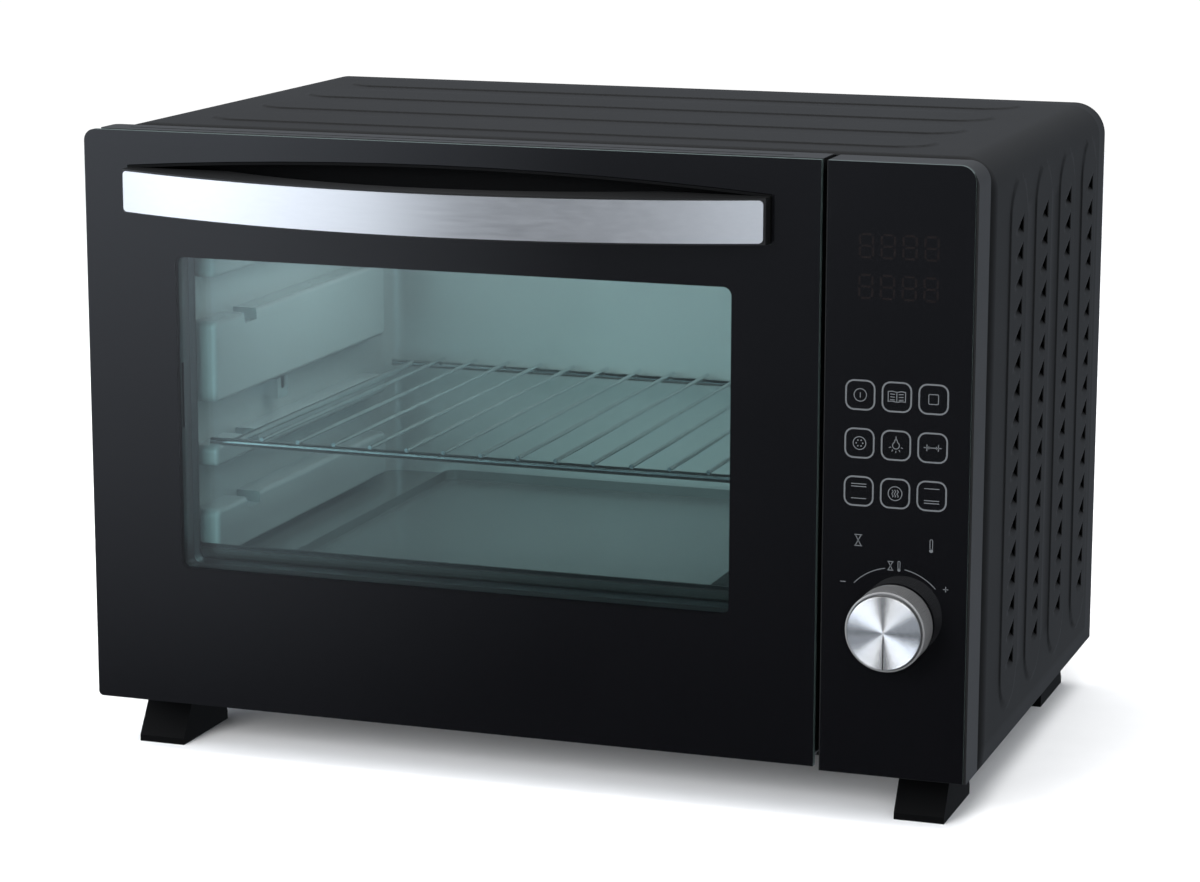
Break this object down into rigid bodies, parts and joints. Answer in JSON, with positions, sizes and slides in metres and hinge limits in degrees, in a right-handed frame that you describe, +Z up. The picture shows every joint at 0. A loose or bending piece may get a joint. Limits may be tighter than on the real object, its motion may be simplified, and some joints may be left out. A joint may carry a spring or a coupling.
{
  "type": "toaster oven",
  "caption": "Countertop toaster oven with a drop-down glass door, bowed steel handle, wire rack, touch keys, a turning knob and louvred black cabinet.",
  "frame": {"origin": "under the middle of the whole oven, handle and cord gland included, on the surface it stands on", "axes": "+X to the user's right across the front, +Y towards the back, +Z up; the front faces -Y"},
  "size_m": [0.55, 0.411, 0.386],
  "materials": {
    "paint": "fine-textured matte black powder coat",
    "zinc_steel": "zinc-coated sheet",
    "screw_steel": "blackened steel",
    "foot_plastic": "matte black moulded plastic",
    "enamel": "glossy grey enamel",
    "dark_enamel": "glossy dark grey enamel",
    "pocket_plastic": "matte black moulded plastic",
    "heater_tube": "heat-tinted steel tube",
    "ceramic": "unglazed ceramic",
    "bright_wire": "bright chromed wire",
    "fan_metal": "stamped aluminium",
    "motor_metal": "laminated steel and cover",
    "clear_glass": "clear toughened glass",
    "panel_glass": "glossy glass printed black behind, with fine grey key outlines",
    "door_glass": "glossy glass printed black behind, with a clear window",
    "dark_plastic": "satin black plastic",
    "circuit_board": "green laminate with parts",
    "display_plastic": "dark smoked plastic",
    "spun_metal": "turned aluminium with a radial shine",
    "knob_metal": "satin metal with fine grooves",
    "door_steel": "satin dark grey",
    "hinge_steel": "pressed steel",
    "seal_rubber": "silicone rubber",
    "brushed_strip": "long-grain brushed stainless steel"
  },
  "bodies": {
    "root": {"outer_cabinet": "paint", "back_panel": "paint", "base_panel": "paint", "front_frame": "paint", "bay_divider": "zinc_steel", "fan_housing": "zinc_steel", "lamp_holder": "zinc_steel", "cabinet_screws": "screw_steel", "foot_screws": "screw_steel", "foot_front_left": "foot_plastic", "foot_front_right": "foot_plastic", "foot_rear_left": "foot_plastic", "foot_rear_right": "foot_plastic", "cavity_ceiling": "enamel", "cavity_left_wall": "enamel", "cavity_right_wall": "enamel", "cavity_back_wall": "enamel", "cavity_floor": "dark_enamel", "crumb_tray": "dark_enamel", "upper_heater_front": "heater_tube", "upper_heater_rear": "heater_tube", "lower_heater_front": "heater_tube", "lower_heater_rear": "heater_tube", "heater_insulators": "ceramic", "spit_rest": "bright_wire", "temperature_probe": "bright_wire", "fan_motor": "motor_metal", "spit_motor": "motor_metal", "lamp_lens": "clear_glass", "lamp_bulb": "clear_glass", "control_glass": "panel_glass", "control_bezel": "dark_plastic", "cord_gland": "dark_plastic", "thermal_cutout": "dark_plastic", "terminal_block": "dark_plastic", "rotary_encoder": "dark_plastic", "control_board": "circuit_board", "power_board": "circuit_board", "display_module": "display_plastic", "touch_foil": "display_plastic", "hinge_bracket_left": "hinge_steel", "hinge_bracket_right": "hinge_steel"},
    "door": {"door_glass": "door_glass", "door_frame": "door_steel", "door_inner_glass": "clear_glass", "door_seal": "seal_rubber", "door_cap": "dark_plastic", "door_hinge_ears": "hinge_steel", "handle_body": "dark_plastic", "handle_pocket": "pocket_plastic", "handle_face": "brushed_strip", "handle_screws": "screw_steel"},
    "knob": {"knob_body": "knob_metal", "knob_cap": "spun_metal", "encoder_shaft": "knob_metal"},
    "rack": {"wire_rack": "bright_wire"},
    "fan": {"fan_blade": "fan_metal"},
    "spit_drive": {"spit_socket": "bright_wire"}
  },
  "joints": [
    {"name": "door_hinge", "type": "hinge", "parent": "root", "child": "door", "pos_m": [-0.0455, -0.1415, 0.0413], "axis": [1, 0, 0], "range_deg": [0, 84], "stiffness_Nm_per_rad": 0.8, "springref_deg": -45.84},
    {"name": "rack_slide", "type": "slide", "parent": "root", "child": "rack", "axis": [0, -1, 0], "range_m": [0, 0.147]},
    {"name": "knob_turn", "type": "hinge", "parent": "root", "child": "knob", "pos_m": [0.2305, -0.1555, 0.1223], "axis": [0, 1, 0], "continuous": true},
    {"name": "fan_spin", "type": "hinge", "parent": "root", "child": "fan", "pos_m": [0.181, 0.0845, 0.2413], "axis": [1, 0, 0], "continuous": true},
    {"name": "spit_turn", "type": "hinge", "parent": "root", "child": "spit_drive", "pos_m": [0.181, -0.0145, 0.2073], "axis": [1, 0, 0], "continuous": true}
  ],
  "couplings": [
    {"joint": "rack_slide", "follows": "door_hinge", "m_per_rad": 0.1}
  ]
}
